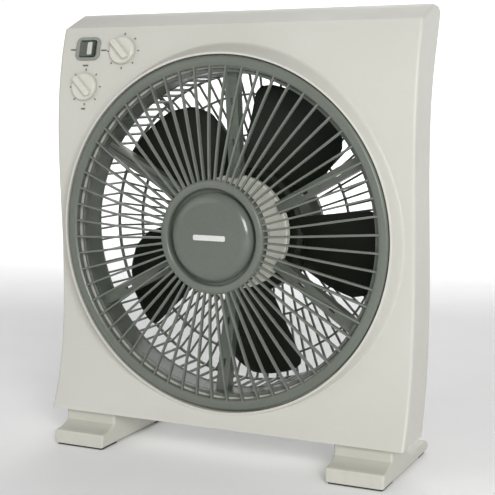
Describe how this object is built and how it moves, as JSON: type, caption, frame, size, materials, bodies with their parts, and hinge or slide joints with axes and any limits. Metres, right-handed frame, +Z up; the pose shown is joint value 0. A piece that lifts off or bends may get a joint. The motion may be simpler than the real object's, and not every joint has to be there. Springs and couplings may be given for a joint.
{
  "type": "box fan",
  "caption": "Box fan with an S-curved housing on stepped feet, rotating round louver grille, slotted rear basket guard, timer and speed knobs and a louver rocker switch.",
  "frame": {"origin": "on the floor, under the middle of the object's bounding box", "axes": "+Z up, the front grille faces -Y, +X to the right of someone looking at the front"},
  "size_m": [0.3616, 0.146, 0.4155],
  "materials": {
    "housing_plastic": "fine satin moulding, warm light grey",
    "foot_plastic": "satin moulding, slightly darker than the housing",
    "grille_plastic": "satin grey-green moulding",
    "blade_plastic": "near black moulding",
    "knob_plastic": "smooth light grey",
    "rocker_plastic": "grey-green",
    "badge": "brushed, blank",
    "rubber": "dull",
    "lead_pvc": "smooth sheath",
    "screw_steel": "zinc plated",
    "zinc_steel": "zinc plated pressing",
    "lamination_steel": "stacked laminations",
    "copper": "varnished copper wire",
    "bronze": "sintered bronze",
    "nylon": "natural nylon",
    "switch_plastic": "black moulded case"
  },
  "bodies": {
    "frame": {"front_housing": "housing_plastic", "back_panel": "housing_plastic", "control_cover": "housing_plastic", "cord_gland": "rubber", "lead_grommet": "rubber", "rating_plate": "badge", "panel_screws": "screw_steel", "cover_screws": "screw_steel", "foot_left": "foot_plastic", "foot_right": "foot_plastic", "sole_pads": "rubber", "foot_screws": "screw_steel", "spider_frame": "grille_plastic", "spider_screws": "screw_steel", "louver_motor": "zinc_steel", "louver_motor_screws": "screw_steel", "louver_lead": "lead_pvc", "front_bush": "bronze", "rear_bush": "bronze", "motor_front_bell": "zinc_steel", "motor_rear_bell": "zinc_steel", "stator_core": "lamination_steel", "stator_windings": "copper", "motor_tie_bolts": "screw_steel", "motor_mount_screws": "screw_steel", "rear_guard": "grille_plastic", "guard_screws": "screw_steel", "motor_cover": "grille_plastic", "motor_lead": "lead_pvc", "speed_switch": "switch_plastic", "timer_unit": "switch_plastic", "switch_bezel": "grille_plastic", "rocker_pin": "screw_steel", "louver_switch": "switch_plastic", "capacitor": "switch_plastic", "terminal_block": "nylon"},
    "fan_rotor": {"fan_blades": "blade_plastic", "blade_nut": "blade_plastic", "motor_shaft": "screw_steel", "rotor_core": "lamination_steel", "thrust_washers": "nylon"},
    "grille_rotor": {"louver_grille": "grille_plastic", "hub_cap": "grille_plastic", "cap_badge": "badge", "louver_shaft": "screw_steel", "grille_screw": "screw_steel"},
    "speed_dial": {"speed_knob": "knob_plastic", "speed_shaft": "screw_steel"},
    "timer_dial": {"timer_knob": "knob_plastic", "timer_shaft": "screw_steel"},
    "louver_rocker": {"rocker": "rocker_plastic", "rocker_pad": "knob_plastic"}
  },
  "joints": [
    {"name": "fan_spin", "type": "hinge", "parent": "frame", "child": "fan_rotor", "pos_m": [0, 0.0078, 0.21], "axis": [0, 1, 0], "continuous": true},
    {"name": "grille_turn", "type": "hinge", "parent": "frame", "child": "grille_rotor", "pos_m": [0, -0.0522, 0.21], "axis": [0, 1, 0], "continuous": true},
    {"name": "speed_turn", "type": "hinge", "parent": "frame", "child": "speed_dial", "pos_m": [-0.111, -0.02891, 0.3786], "axis": [0, 0.9673, -0.2538], "range_deg": [0, 135]},
    {"name": "timer_turn", "type": "hinge", "parent": "frame", "child": "timer_dial", "pos_m": [-0.15, -0.03556, 0.345], "axis": [0, 0.9904, -0.1381], "range_deg": [-45, 270]},
    {"name": "rocker_tilt", "type": "hinge", "parent": "frame", "child": "louver_rocker", "pos_m": [-0.15, -0.02345, 0.37968], "axis": [0, 0.2632, 0.9648], "range_deg": [0, 16]}
  ]
}
